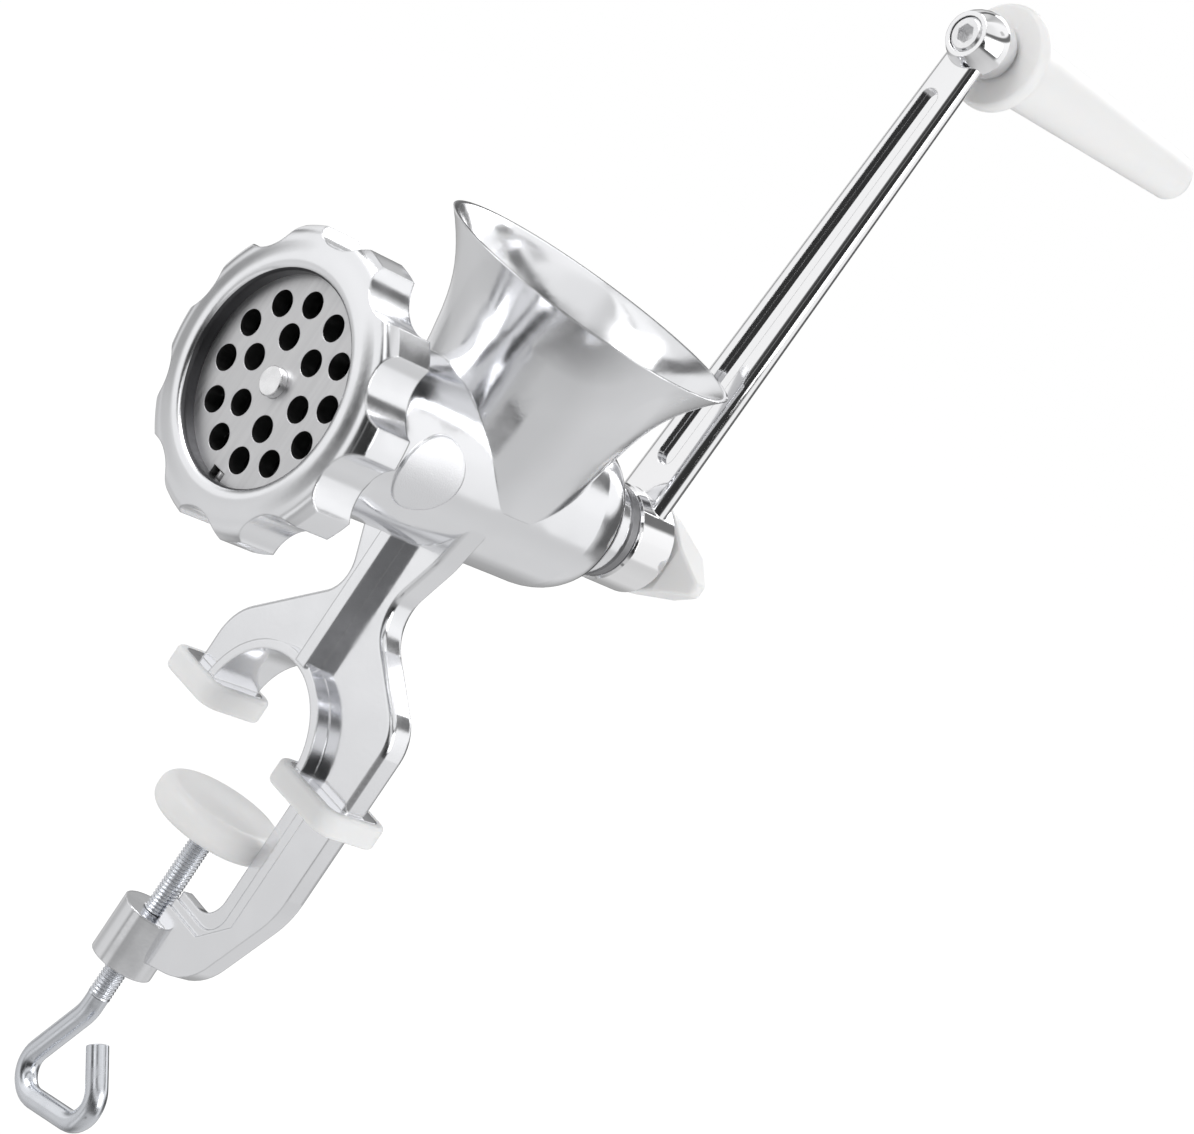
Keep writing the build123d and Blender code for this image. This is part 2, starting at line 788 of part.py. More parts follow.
# ---------------------------------------------------------------------------- grip

with BuildPart() as grip_washer:
    with BuildSketch(across(arm_boss_back + grip_washer_thickness, grip_axis_height)):
        Circle(grip_washer_radius)
        Circle(grip_screw_radius + fit, mode=Mode.SUBTRACT)
    extrude(amount=grip_washer_thickness)
grip_washer.part.label = "grip_washer"
export_step(grip_washer.part, "parts/grip_washer.step")

head_seat = arm_boss_front + head_recess - face_gap
with BuildPart() as grip_screw:
    with BuildSketch(across(head_seat, grip_axis_height)):
        Circle(grip_screw_head)
    extrude(amount=head_height)
    chamfer(grip_screw.faces().sort_by(Axis.Y)[0].edges(), edge_break)
    with BuildSketch(across(head_seat - head_height + socket_depth, grip_axis_height)):
        RegularPolygon(grip_screw_socket, 6)
    extrude(amount=socket_depth, mode=Mode.SUBTRACT)
    with BuildSketch(across(grip_front + grip_screw_bite, grip_axis_height)):
        Circle(grip_screw_radius)
    extrude(amount=grip_front + grip_screw_bite - head_seat)
grip_screw.part.label = "grip_screw"
export_step(grip_screw.part, "parts/grip_screw.step")

with BuildPart() as grip:
    with BuildSketch(grip_section):
        with BuildLine():
            rim = Line(
                (grip_front, grip_flange_radius - flange_rounding),
                (grip_front, grip_screw_radius + face_gap),
            )
            Line(rim @ 1, (grip_front + grip_screw_bite + face_gap, grip_screw_radius + face_gap))
            Polyline(
                (grip_front + grip_screw_bite + face_gap, grip_screw_radius + face_gap),
                (grip_front + grip_screw_bite + face_gap, 0),
                (grip_back, 0),
            )
            ThreePointArc(
                (grip_back, 0),
                (grip_back - 0.16 * grip_radius_small, 0.62 * grip_radius_small),
                (grip_back - 0.6 * grip_radius_small, 0.97 * grip_radius_small),
            )
            Line(
                (grip_back - 0.6 * grip_radius_small, 0.97 * grip_radius_small),
                (grip_front + grip_neck, grip_radius_big),
            )
            sweep_back = Spline(
                (grip_front + grip_neck, grip_radius_big),
                (grip_front + grip_flange_thickness, grip_flange_radius - 0.8),
                tangents=[(-1, 0.03), (-0.2, 1)],
            )
            Spline(sweep_back @ 1, rim @ 0, tangents=[(-0.3, 1), (-0.3, -1)])
        make_face()
    revolve(axis=grip_axis)
grip.part.label = "grip"
export_step(grip.part, "parts/grip.step")

# ----------------------------------------------------------------------- wing knob

with BuildPart() as knob_washer:
    with BuildSketch(across(knob_washer_back)):
        Circle(knob_washer_radius)
        Circle(stud_radius + fit, mode=Mode.SUBTRACT)
    extrude(amount=knob_washer_thickness)
knob_washer.part.label = "knob_washer"
export_step(knob_washer.part, "parts/knob_washer.step")

with BuildPart() as wing_knob:
    # From behind: a round base drawn out into two wings
    tip_x = wing_span / 2 - wing_tip
    with BuildSketch(across(knob_front + knob_length)):
        Circle(knob_base_radius)
        with Locations((-tip_x, 0), (tip_x, 0)):
            Circle(wing_tip)
        make_hull()
    extrude(amount=knob_length)
    # From above: the wings rise behind the base and run up to the crown
    with BuildSketch(level(axis_height - knob_base_radius)):
        with Locations((0, knob_front + edge_break)):
            Rectangle(2 * knob_base_radius, 2 * edge_break)
        with Locations((-tip_x, knob_front + wing_rise), (tip_x, knob_front + wing_rise)):
            Circle(wing_tip)
        with Locations((0, knob_front + knob_length - edge_break)):
            Rectangle(2 * knob_crown_radius, 2 * edge_break)
        make_hull()
    extrude(amount=2 * knob_base_radius, mode=Mode.INTERSECT)
    # From the side: the base is full height, the crown is not
    with BuildSketch(barrel_section):
        with BuildLine():
            Polyline(
                (knob_front, knob_base_radius),
                (knob_front + knob_base_thickness, knob_base_radius),
                (knob_front + knob_length, knob_crown_radius),
                (knob_front + knob_length, -knob_crown_radius),
                (knob_front + knob_base_thickness, -knob_base_radius),
                (knob_front, -knob_base_radius),
                (knob_front, knob_base_radius),
            )
        make_face()
    extrude(amount=wing_span / 2, both=True, mode=Mode.INTERSECT)
    fillet(wing_knob.edges(), knob_rounding)
    with BuildSketch(across(knob_front + stud_in_knob + face_gap)):
        Circle(stud_radius + fit)
    extrude(amount=stud_in_knob + face_gap, mode=Mode.SUBTRACT)
wing_knob.part.label = "wing_knob"
export_step(wing_knob.part, "parts/wing_knob.step")

with BuildPart() as wing_stud:
    with BuildSketch(across(knob_front + stud_in_knob)):
        Circle(stud_radius)
    extrude(amount=knob_front + stud_in_knob - tail_back + stud_bite)
wing_stud.part.label = "wing_stud"
export_step(wing_stud.part, "parts/wing_stud.step")

# ----------------------------------------------------------------------- foot caps

def foot_cap(side, outer):
    """Cap over one foot: a moulded tray with the foot's own shape inside."""
    middle = side * (outer + foot_inner) / 2
    length = outer - foot_inner
    with BuildPart() as cap:
        with BuildSketch():
            with Locations((middle, 0)):
                RectangleRounded(length + 2 * cap_wall, foot_width + 2 * cap_wall, cap_corner)
        extrude(amount=foot_top)
        fillet(cap.edges().group_by(Axis.Z)[0] + cap.edges().group_by(Axis.Z)[-1], cap_rounding)
        with BuildSketch(level(cap_floor)):
            with Locations((middle, 0)):
                RectangleRounded(length, foot_width, cap_corner - cap_wall)
        extrude(amount=foot_top, mode=Mode.SUBTRACT)
    return cap.part


with BuildPart() as far_foot_cap:
    add(foot_cap(-1, far_foot_outer))
far_foot_cap.part.label = "far_foot_cap"
export_step(far_foot_cap.part, "parts/far_foot_cap.step")

with BuildPart() as near_foot_cap:
    add(foot_cap(1, near_foot_outer))
    with BuildSketch():
        with Locations(((inner_web_x + spine_x) / 2, frame_front + frame_thickness / 2)):
            Rectangle(spine_x - inner_web_x + 2 * cap_gap, frame_thickness + 2 * cap_gap)
    extrude(amount=cap_floor, mode=Mode.SUBTRACT)
near_foot_cap.part.label = "near_foot_cap"
export_step(near_foot_cap.part, "parts/near_foot_cap.step")

# --------------------------------------------------------------- clamp screw and pad

plate_top = pad_bottom + pad_plate_thickness

with BuildPart() as clamp_pad:
    with BuildSketch(level(pad_bottom)):
        Circle(pad_radius)
    extrude(amount=pad_thickness)
    fillet(clamp_pad.edges(), pad_rounding)
    with BuildSketch(level(pad_bottom)):
        Circle(pad_plate_radius + fit)
    extrude(amount=pad_plate_thickness, mode=Mode.SUBTRACT)
    with BuildSketch(level(plate_top)):
        Circle(rivet_radius + 2 * face_gap)
    extrude(amount=rivet_height + 2 * face_gap, mode=Mode.SUBTRACT)
clamp_pad.part.label = "clamp_pad"
export_step(clamp_pad.part, "parts/clamp_pad.step")

with BuildPart() as pad_plate:
    with BuildSketch(level(pad_bottom)):
        Circle(pad_plate_radius)
        Circle(neck_radius + face_gap, mode=Mode.SUBTRACT)
    extrude(amount=pad_plate_thickness)
pad_plate.part.label = "pad_plate"
export_step(pad_plate.part, "parts/pad_plate.step")

with BuildPart() as clamp_screw:
    with BuildSketch(level(plate_top + face_gap)):
        Circle(rivet_radius)
    extrude(amount=rivet_height)
    chamfer(clamp_screw.edges().group_by(Axis.Z)[-1], edge_break)
    with BuildSketch(level(pad_bottom - face_gap)):
        Circle(neck_radius)
    extrude(amount=pad_plate_thickness + 2 * face_gap)
    with BuildSketch(level(screw_bottom)):
        Circle(screw_radius)
    extrude(amount=screw_length)

    # The rod's lower end is bent into an open triangle
    with BuildLine() as handle_path:
        FilletPolyline(
            (0, 0, screw_bottom),
            (0, 0, screw_bottom - wire_drop),
            (-wire_out, 0, screw_bottom - wire_drop - wire_leg),
            (wire_across - wire_out, 0, screw_bottom - wire_drop - wire_leg + wire_rise),
            (wire_end_x, 0, screw_bottom - wire_drop - wire_leg + wire_end_rise),
            radius=[wire_bend_wide, wire_bend, wire_bend],
        )
    with BuildSketch(Plane((0, 0, screw_bottom), z_dir=(0, 0, -1))):
        Circle(wire_radius)
    sweep(path=handle_path.line)
clamp_screw.part.label = "clamp_screw"
export_step(clamp_screw.part, "parts/clamp_screw.step")
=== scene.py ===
# %% [markdown]
# # A hand crank meat grinder, dressed for the studio
#
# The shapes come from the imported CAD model, which is loaded once and never moved.
# This file adds what the CAD leaves out: the finish of every surface, the threads
# that are cut into the clamp screw, the forged crank arm, and the studio itself.
# It also draws a pin with a finer edge. Blender works in metres, so a helper turns
# millimetres into metres.

import json
from math import cos, pi, radians, sin, tan

import bmesh
import bpy
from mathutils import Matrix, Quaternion, Vector


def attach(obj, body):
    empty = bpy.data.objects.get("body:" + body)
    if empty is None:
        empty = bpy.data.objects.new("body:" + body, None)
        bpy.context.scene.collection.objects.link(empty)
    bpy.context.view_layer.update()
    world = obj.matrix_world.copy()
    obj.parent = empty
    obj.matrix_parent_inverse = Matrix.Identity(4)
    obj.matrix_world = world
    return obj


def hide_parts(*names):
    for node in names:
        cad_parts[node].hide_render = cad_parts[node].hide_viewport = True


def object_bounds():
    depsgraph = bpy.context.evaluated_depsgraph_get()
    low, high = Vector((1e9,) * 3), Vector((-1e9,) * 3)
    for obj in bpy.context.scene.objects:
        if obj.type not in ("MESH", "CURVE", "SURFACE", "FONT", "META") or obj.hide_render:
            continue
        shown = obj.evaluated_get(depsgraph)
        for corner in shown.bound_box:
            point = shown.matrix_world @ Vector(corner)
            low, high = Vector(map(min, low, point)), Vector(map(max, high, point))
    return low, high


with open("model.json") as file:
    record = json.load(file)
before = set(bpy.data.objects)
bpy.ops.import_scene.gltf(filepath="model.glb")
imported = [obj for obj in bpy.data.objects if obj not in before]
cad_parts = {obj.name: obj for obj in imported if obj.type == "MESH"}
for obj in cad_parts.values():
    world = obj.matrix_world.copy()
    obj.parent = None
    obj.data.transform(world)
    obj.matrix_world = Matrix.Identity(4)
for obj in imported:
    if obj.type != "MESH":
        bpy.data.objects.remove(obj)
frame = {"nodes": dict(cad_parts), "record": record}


def as_lists(box):
    """The two corners of a box as plain lists of numbers."""
    return [[float(value) for value in corner] for corner in box]


cad_box = as_lists(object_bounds())
nodes = frame["nodes"]


def mm(*values):
    """Millimetres to metres: one number, or a vector."""
    scaled = [value / 1000 for value in values]
    return scaled[0] if len(scaled) == 1 else Vector(scaled)


# %% [markdown]
# ## A small kit for materials
#
# Every finish below is one Principled shader with a little procedural detail in
# front of it. Short helpers keep the node trees readable. `start_finish` makes the
# shader. `noise_map` stretches a noise over the object's own coordinates, so grain
# has a real size. `remap` and `maths` do sums, `blend_colours` mixes two colours,
# and `soften_edges` and `dent` bend the surface that the light sees.

# %% Helpers for shader nodes
def start_finish(name, colour, metallic, roughness):
    """A new material. Returns it with its nodes, its links and its main shader."""
    material = bpy.data.materials.new(name)
    material.use_nodes = True
    tree = material.node_tree
    shader = tree.nodes["Principled BSDF"]
    shader.inputs["Base Color"].default_value = (*colour, 1)
    shader.inputs["Metallic"].default_value = metallic
    shader.inputs["Roughness"].default_value = roughness
    return material, tree, shader


def node(tree, kind, **settings):
    """A shader node with some of its properties and inputs set."""
    made = tree.nodes.new(kind)
    for key, value in settings.items():
        if key in made.inputs:
            made.inputs[key].default_value = value
        else:
            setattr(made, key, value)
    return made


def noise_map(tree, scale, detail=3.0, stretch=(1, 1, 1)):
    """Noise in object coordinates. A scale of 1000 gives lumps about 1 mm wide."""
    place = node(tree, "ShaderNodeTexCoord")
    mapping = node(tree, "ShaderNodeMapping")
    mapping.inputs["Scale"].default_value = stretch
    texture = node(tree, "ShaderNodeTexNoise", Scale=scale, Detail=detail)
    tree.links.new(place.outputs["Object"], mapping.inputs["Vector"])
    tree.links.new(mapping.outputs["Vector"], texture.inputs["Vector"])
    return texture.outputs["Fac"]


def remap(tree, value, low, high, start=0.3, end=0.7):
    """Stretches the part of a texture between start and end over low to high."""
    scaled = node(tree, "ShaderNodeMapRange")
    scaled.inputs["From Min"].default_value = start
    scaled.inputs["From Max"].default_value = end
    scaled.inputs["To Min"].default_value = low
    scaled.inputs["To Max"].default_value = high
    tree.links.new(value, scaled.inputs["Value"])
    return scaled.outputs["Result"]


def maths(tree, operation, first, second=0.0):
    """One step of arithmetic on two sockets or numbers."""
    step = node(tree, "ShaderNodeMath", operation=operation)
    for socket, value in zip(step.inputs, (first, second)):
        if isinstance(value, (int, float)):
            socket.default_value = value
        else:
            tree.links.new(value, socket)
    return step.outputs[0]


def blend_colours(tree, share, first, second, **settings):
    """Mixes two colours, each a socket or plain numbers, by a share that is a socket."""
    mix = node(tree, "ShaderNodeMix", data_type="RGBA", **settings)
    for place, value in ((6, first), (7, second)):
        if isinstance(value, tuple):
            mix.inputs[place].default_value = (*value, 1)
        else:
            tree.links.new(value, mix.inputs[place])
    tree.links.new(share, mix.inputs["Factor"])
    return mix.outputs[2]


def distance_between(tree, first, second):
    """The length of the long side of a right angle with these two short sides."""
    squares = maths(tree, "ADD", maths(tree, "POWER", first, 2), maths(tree, "POWER", second, 2))
    return maths(tree, "SQRT", squares)


def object_place(tree):
    """The x, y and z of a point on the object, as sockets."""
    split = node(tree, "ShaderNodeSeparateXYZ")
    tree.links.new(node(tree, "ShaderNodeTexCoord").outputs["Object"], split.inputs[0])
    return split.outputs


def soften_edges(tree, radius):
    """A normal that rounds sharp edges by the given radius, as tumbling or dies do."""
    return node(tree, "ShaderNodeBevel", samples=4, Radius=radius).outputs["Normal"]


def dent(tree, height, depth, normal, strength=1.0):
    """Bumps a surface by a height map. The depth is in metres."""
    bump = node(tree, "ShaderNodeBump", Strength=strength, Distance=depth)
    tree.links.new(height, bump.inputs["Height"])
    tree.links.new(normal, bump.inputs["Normal"])
    return bump.outputs["Normal"]


print("material helpers ready")

# %% [markdown]
# ## Polished casting
#
# The body, the ring nut and the feed screw are cast aluminium, buffed bright.
# Buffing leaves a mirror that is never quite flat: broad, shallow waves bend the
# reflections and a fine haze sits in the hollows. Two noises do that, one wide
# for the waves and one narrow for the haze. The collar's thread is cut into the
# same piece, so it is a ridge that climbs around the barrel's axis, and the
# round disc on the barrel's side is left matt.
# The bore, the ring's opening and the feed screw get painted shade: a near-black colour, plus more
# roughness.

# %% Cast aluminium
barrel_height = mm(88)
collar_back, collar_radius, collar_pitch = mm(-50), mm(31.1), mm(3)
thread_depth = mm(1.6)
disc_y, disc_radius, disc_side = mm(-26.8), mm(10), mm(15)
bore_radius, bore_front, bore_back = mm(28.5), mm(-62), mm(43.5)
wide_bore, bore_step = mm(28.2), mm(8.2)
ring_opening = mm(27.2)
buffed = (0.86, 0.865, 0.885)
# Near-black colours painted as shade in the bore and in the ring's opening
painted_shade_bore, painted_shade_opening = (0.05, 0.05, 0.053), (0.10, 0.10, 0.105)


def shaded_bore_radius(tree, y):
    """The radius of the bore's painted shade: wide at the knife and narrow behind it."""
    narrow = maths(tree, "GREATER_THAN", y, collar_back)
    return maths(tree, "SUBTRACT", wide_bore, maths(tree, "MULTIPLY", narrow, bore_step))


def collar_thread(tree, x, y, height, radius, normal):
    """A saw of the angle around the axis and the way along it, on the collar only."""
    angle = maths(tree, "DIVIDE", maths(tree, "ARCTAN2", x, height), 2 * pi)
    turns = maths(tree, "ADD", maths(tree, "DIVIDE", y, collar_pitch), angle)
    ridge = maths(tree, "PINGPONG", turns, 0.5)
    on_collar = maths(tree, "LESS_THAN", y, collar_back)
    outside = maths(tree, "GREATER_THAN", radius, collar_radius - mm(0.2))
    where = maths(tree, "MULTIPLY", on_collar, outside)
    return dent(tree, maths(tree, "MULTIPLY", ridge, where), thread_depth, normal)


def matt_disc(tree, x, y, height):
    """One inside the disc on the side that looks to +X, nothing elsewhere."""
    from_middle = distance_between(tree, maths(tree, "SUBTRACT", y, disc_y), height)
    inside = maths(tree, "LESS_THAN", from_middle, disc_radius)
    return maths(tree, "MULTIPLY", inside, maths(tree, "GREATER_THAN", x, disc_side))


def shaded_bore_mask(tree, y, radius):
    """One in the bore, which gets painted shade and more roughness, and nothing elsewhere."""
    shaded_recess = maths(tree, "LESS_THAN", radius, bore_radius)
    for test, first, second in (("GREATER_THAN", y, bore_front), ("LESS_THAN", y, bore_back),
                                ("LESS_THAN", radius, shaded_bore_radius(tree, y))):
        shaded_recess = maths(tree, "MULTIPLY", shaded_recess, maths(tree, test, first, second))
    return shaded_recess


def cast_aluminium(name, with_collar=False):
    """Buffed casting with painted shade inside it: the body's bore, the ring's opening and the feed
    screw. The body also has a thread on its collar and a matt disc.
    """
    material, tree, shader = start_finish(name, buffed, 1.0, 0.14)
    rough = remap(tree, noise_map(tree, 140, 4), 0.09, 0.2)
    normal = soften_edges(tree, mm(0.7))
    normal = dent(tree, noise_map(tree, 45, 1), mm(0.5), normal, 0.22)
    normal = dent(tree, noise_map(tree, 900, 3), mm(0.02), normal, 0.35)
    x, y, z = object_place(tree)
    height = maths(tree, "SUBTRACT", z, barrel_height)
    radius = distance_between(tree, x, height)
    if with_collar:
        normal = collar_thread(tree, x, y, height, radius, normal)
        matt = matt_disc(tree, x, y, height)
        rough = maths(tree, "ADD", rough, maths(tree, "MULTIPLY", matt, 0.24))
        grain = maths(tree, "MULTIPLY", noise_map(tree, 2600, 2), matt)
        normal = dent(tree, grain, mm(0.06), normal)
        # Painted shade in the bore: a near-black colour, plus more roughness
        shaded_recess, shade_colour, extra = shaded_bore_mask(tree, y, radius), painted_shade_bore, 0.4
    else:
        # The ring nut's opening and the feed screw are turned or cast, so rougher; their near-black
        # colour is painted shade
        shaded_recess, shade_colour, extra = maths(tree, "LESS_THAN", radius, ring_opening), painted_shade_opening, 0.25
    rough = maths(tree, "ADD", rough, maths(tree, "MULTIPLY", shaded_recess, extra))
    tree.links.new(blend_colours(tree, shaded_recess, buffed, shade_colour), shader.inputs["Base Color"])
    tree.links.new(rough, shader.inputs["Roughness"])
    tree.links.new(normal, shader.inputs["Normal"])
    return material


body_casting = cast_aluminium("Body casting", with_collar=True)
loose_casting = cast_aluminium("Ring and feed screw casting")
print("made", body_casting.name, "and", loose_casting.name)

# %% [markdown]
# ## Steel, chrome, zinc and bronze
#
# The plate and the knife are ground flat, which leaves fine straight scratches, so
# their noise is stretched along one axis. The knife is dark, as it sits in shade.
# The plate's holes get painted shade on their walls and a painted highlight on their rims. Washers
# are turned and duller, pins are plain.
# The crank is plated: almost a mirror, with a slow waviness. The clamp
# screw is zinc plated, which is a little blue and mottled.

# %% Machined and plated metals
# The plate's own colour, and a painted highlight for the rims of its holes
plate_colour, painted_rim_highlight = (0.70, 0.70, 0.71), (0.95, 0.95, 0.96)


def ground_steel(name, colour, roughness, stretch, scratch=0.35):
    """Steel with straight grinding marks across the given stretch."""
    material, tree, shader = start_finish(name, colour, 1.0, roughness)
    marks = noise_map(tree, 1200, 2, stretch)
    uneven = remap(tree, marks, roughness - 0.07, roughness + 0.1)
    tree.links.new(uneven, shader.inputs["Roughness"])
    normal = dent(tree, marks, mm(0.05), soften_edges(tree, mm(0.3)), scratch)
    tree.links.new(normal, shader.inputs["Normal"])
    return material


def paint_hole_shade_and_highlight(material, colour, wall_shade, highlight_width):
    """Drilled holes: painted shade on the side walls, and a painted highlight that makes the rims a
    little brighter than the face.
    """
    tree = material.node_tree
    face = node(tree, "ShaderNodeSeparateXYZ")
    tree.links.new(node(tree, "ShaderNodeTexCoord").outputs["Normal"], face.inputs[0])
    wall = maths(tree, "LESS_THAN", maths(tree, "ABSOLUTE", face.outputs[1]), 0.5)
    flat = node(tree, "ShaderNodeNewGeometry").outputs["Normal"]
    turned = node(tree, "ShaderNodeVectorMath", operation="DOT_PRODUCT")
    tree.links.new(soften_edges(tree, highlight_width), turned.inputs[0])
    tree.links.new(flat, turned.inputs[1])
    # Painted highlight where the rounded normal turns away from the flat one
    highlight_share = remap(tree, turned.outputs["Value"], 1.0, 0.0, 0.8, 0.99)
    face_colour = blend_colours(tree, highlight_share, colour, painted_rim_highlight)
    # Painted shade on every wall that faces sideways
    shaded_and_highlighted = blend_colours(tree, wall, face_colour, (wall_shade, wall_shade, wall_shade))
    tree.links.new(shaded_and_highlighted, tree.nodes["Principled BSDF"].inputs["Base Color"])


def plated_metal(name, colour, roughness, waves):
    """A plated finish: clear reflections over a slightly wavy surface."""
    material, tree, shader = start_finish(name, colour, 1.0, roughness)
    cloud = noise_map(tree, 260, 4)
    tree.links.new(remap(tree, cloud, roughness * 0.7, roughness * 1.6), shader.inputs["Roughness"])
    normal = soften_edges(tree, mm(0.35))
    normal = dent(tree, noise_map(tree, 70, 1), mm(0.4), normal, waves)
    tree.links.new(normal, shader.inputs["Normal"])
    return material


plate_steel = ground_steel("Ground plate steel", plate_colour, 0.42, (1, 1, 0.02))
# Painted shade on the hole walls, painted highlight on their rims
paint_hole_shade_and_highlight(plate_steel, plate_colour, 0.22, mm(0.35))
bright_steel = plated_metal("Turned bright steel", (0.88, 0.88, 0.89), 0.22, 0.0)
knife_steel = ground_steel("Knife steel", (0.05, 0.05, 0.052), 0.45, (0.03, 1, 1))
washer_steel = ground_steel("Satin washer steel", (0.30, 0.30, 0.31), 0.42, (0.03, 1, 1))
chrome = plated_metal("Chromed crank", (0.90, 0.90, 0.91), 0.05, 0.18)
zinc = plated_metal("Zinc plated screw", (0.74, 0.76, 0.80), 0.2, 0.1)
bronze = ground_steel("Turned bronze", (0.72, 0.50, 0.28), 0.3, (1, 0.03, 1))
steels = (plate_steel, bright_steel, knife_steel, washer_steel, chrome, zinc, bronze)
print("made", [metal.name for metal in steels])

# %% [markdown]
# ## White plastic
#
# The grip, the wing knob, the foot caps and the pad are one soft white plastic. It
# lets light in a little, so its shaded side glows and edges look soft. The
# subsurface share does that. A faint orange-peel bump breaks up the highlights.

# %% Moulded plastic
def moulded_plastic(name):
    """Milky white plastic with a moulded skin."""
    material, tree, shader = start_finish(name, (0.90, 0.90, 0.90), 0.0, 0.36)
    shader.inputs["Subsurface Weight"].default_value = 0.35
    shader.inputs["Subsurface Radius"].default_value = (1.0, 0.9, 0.8)
    shader.inputs["Subsurface Scale"].default_value = mm(3)
    shader.inputs["Specular IOR Level"].default_value = 0.4
    skin = noise_map(tree, 1500, 2)
    tree.links.new(remap(tree, noise_map(tree, 90, 2), 0.28, 0.42), shader.inputs["Roughness"])
    normal = dent(tree, skin, mm(0.03), soften_edges(tree, mm(0.5)), 0.3)
    tree.links.new(normal, shader.inputs["Normal"])
    return material


white_plastic = moulded_plastic("White moulded plastic")
print("made", white_plastic.name)

# %% [markdown]
# ## Finishes on the CAD pieces
#
# The record names a finish for every piece. A table from those names to the
# materials above dresses all of them at once. The body and the knife have their own.

# %% Dress the CAD nodes
finishes = {
    "cast_aluminium": loose_casting,
    "plate_steel": plate_steel,
    "bright_steel": bright_steel,
    "washer_steel": washer_steel,
    "zinc_steel": zinc,
    "chromed_arm": chrome,
    "bush_bronze": bronze,
    "white_plastic": white_plastic,
}
own_finish = {"grinder_body": body_casting, "knife": knife_steel}
for subpart in frame["record"]["subparts"]:
    dressed = nodes[subpart["node"]]
    finish = own_finish.get(dressed.name, finishes[subpart["material_slot"]])
    dressed.data.materials.clear()
    dressed.data.materials.append(finish)

# %% [markdown]
# ## The clamp screw
#
# The screw is one rod. Its upper end is threaded and riveted into the pad, and its
# lower end is bent into an open triangle that fingers can turn. The thread is too
# fine for the CAD, so the rod is built here: rings of points are stacked along the
# rod, and each point sinks where the thread's groove passes it.

# %% Threaded rod
rod_crest, rod_root = mm(3.1), mm(2.55)
rod_pitch = mm(1)
rod_top, rod_bottom = mm(-25.4), mm(-77.2)
fade_top, fade_bottom = mm(1), mm(1.5)
rivet_steps = [(3.4, -20.6), (4, -21.2), (4, -23.4), (2.2, -23.4), (2.2, -25.4)]
rivet = [(mm(radius), mm(z)) for radius, z in rivet_steps]
ring_points = 28
ring_step = rod_pitch / 8


def thread_radius(angle, z):
    """Distance from the rod's axis to its surface at one angle and height."""
    turn = ((z / rod_pitch) - angle / (2 * pi)) % 1.0
    groove = 1 - abs(2 * turn - 1)
    depth = rod_crest - rod_root
    fade = min(1.0, (z - rod_bottom) / fade_bottom, (rod_top - z) / fade_top)
    return rod_crest - depth * groove * max(0.0, fade)


def ring_of_points(mesh, z, radius_at):
    """Adds one closed ring of points at a height."""
    ring = []
    for step in range(ring_points):
        angle = 2 * pi * step / ring_points
        radius = radius_at(angle, z)
        ring.append(mesh.verts.new((radius * cos(angle), radius * sin(angle), z)))
    return ring


def join_rings(mesh, above, below):
    """Closes the band between two rings with four-sided faces."""
    for i in range(ring_points):
        following = (i + 1) % ring_points
        mesh.faces.new((above[i], below[i], below[following], above[following]))


def object_from(mesh, name, material, smooth=True):
    """Turns a bmesh into an object with a material."""
    bmesh.ops.recalc_face_normals(mesh, faces=mesh.faces)
    data = bpy.data.meshes.new(name)
    mesh.to_mesh(data)
    mesh.free()
    for face in data.polygons:
        face.use_smooth = smooth
    data.materials.append(material)
    made = bpy.data.objects.new(name, data)
    bpy.context.scene.collection.objects.link(made)
    return made


rod = bmesh.new()
rings = [ring_of_points(rod, z, lambda a, h, r=radius: r) for radius, z in rivet]
steps = int((rod_top - rod_bottom) / ring_step)
for step in range(steps + 1):
    rings.append(ring_of_points(rod, rod_top - step * ring_step, thread_radius))
for above, below in zip(rings, rings[1:]):
    join_rings(rod, above, below)
rod.faces.new(rings[0])
threaded_rod = object_from(rod, "clamp_screw_thread", zinc)
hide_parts("clamp_screw")
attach(threaded_rod, "screw")
print("threaded rod:", len(threaded_rod.data.vertices), "points")

# %% [markdown]
# The handle is the same rod, bent cold round a former. A Bezier curve with a round
# bevel is a natural model of a bent bar: two knots mark where each bend starts and
# stops, and the handles between them are as long as a circular bend needs.

# %% Bent wire handle
wire_radius = mm(2.95)
wire_route = [mm(0, 0, -77.0), mm(0, 0, -82.2), mm(-12.5, 0, -113.2), mm(27, 0, -102.2),
              mm(9.7, 0, -86.2)]
wire_bends = [mm(12), mm(7), mm(7)]


def bend_knots(before, corner, after, radius):
    """The knots at both ends of a round bend, each with its inner handle."""
    arriving = (corner - before).normalized()
    leaving = (after - corner).normalized()
    turn = arriving.angle(leaving)
    setback = radius * tan(turn / 2)
    reach = radius * 4 / 3 * tan(turn / 4)
    start, end = corner - arriving * setback, corner + leaving * setback
    return [(start, start - arriving * reach, start + arriving * reach),
            (end, end - leaving * reach, end + leaving * reach)]


knots = [(wire_route[0], wire_route[0], wire_route[0])]
for index, radius in enumerate(wire_bends):
    knots += bend_knots(*wire_route[index:index + 3], radius)
knots.append((wire_route[-1], wire_route[-1], wire_route[-1]))

wire_data = bpy.data.curves.new("clamp_screw_handle", "CURVE")
wire_data.dimensions = "3D"
wire_data.bevel_depth = wire_radius
wire_data.bevel_resolution = 8
wire_data.use_fill_caps = True
wire_line = wire_data.splines.new("BEZIER")
wire_line.bezier_points.add(len(knots) - 1)
wire_line.resolution_u = 16
for point, (middle, left, right) in zip(wire_line.bezier_points, knots):
    point.co, point.handle_left, point.handle_right = middle, left, right
wire_data.materials.append(zinc)
wire_handle = bpy.data.objects.new("clamp_screw_handle", wire_data)
bpy.context.scene.collection.objects.link(wire_handle)
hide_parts("clamp_screw")
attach(wire_handle, "screw")
print("wire handle:", len(knots), "knots")

